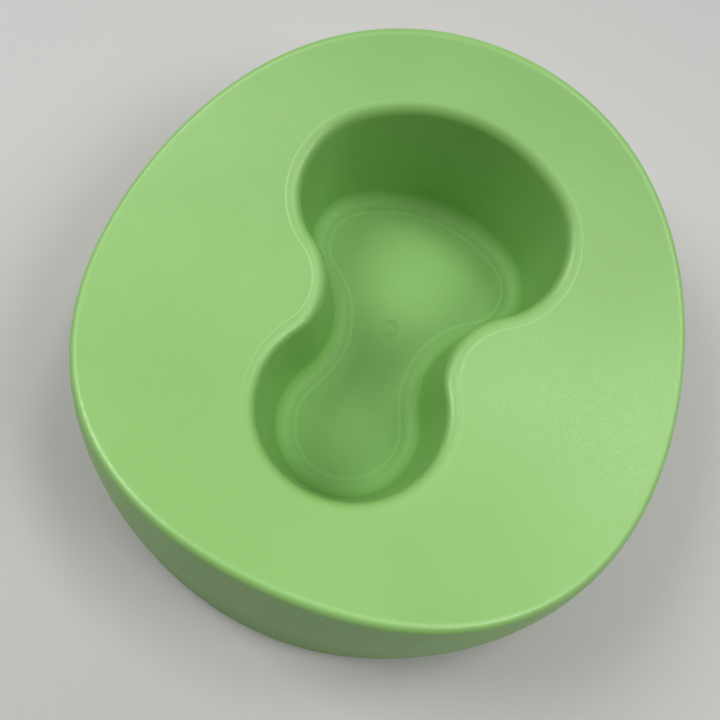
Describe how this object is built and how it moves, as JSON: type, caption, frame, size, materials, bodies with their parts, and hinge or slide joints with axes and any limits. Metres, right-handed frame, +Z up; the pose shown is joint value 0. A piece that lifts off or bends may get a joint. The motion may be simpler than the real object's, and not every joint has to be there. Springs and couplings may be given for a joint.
{
  "type": "one-piece child's potty",
  "caption": "Low child's potty: dished seat deck with a keyhole-shaped bowl and a flared round skirt, moulded in one wall and standing on soft feet.",
  "frame": {"origin": "on the ground, under the middle of the round base", "axes": "+Z up, -Y the child's front (the narrow end of the bowl), X side to side"},
  "size_m": [0.328, 0.328, 0.1126],
  "materials": {
    "body": "fine matte grain, moulded polypropylene",
    "foot": "soft matte thermoplastic elastomer"
  },
  "bodies": {
    "root": {"potty_shell": "body", "foot_front_left": "foot", "foot_front_right": "foot", "foot_back_left": "foot", "foot_back_right": "foot"}
  },
  "joints": []
}
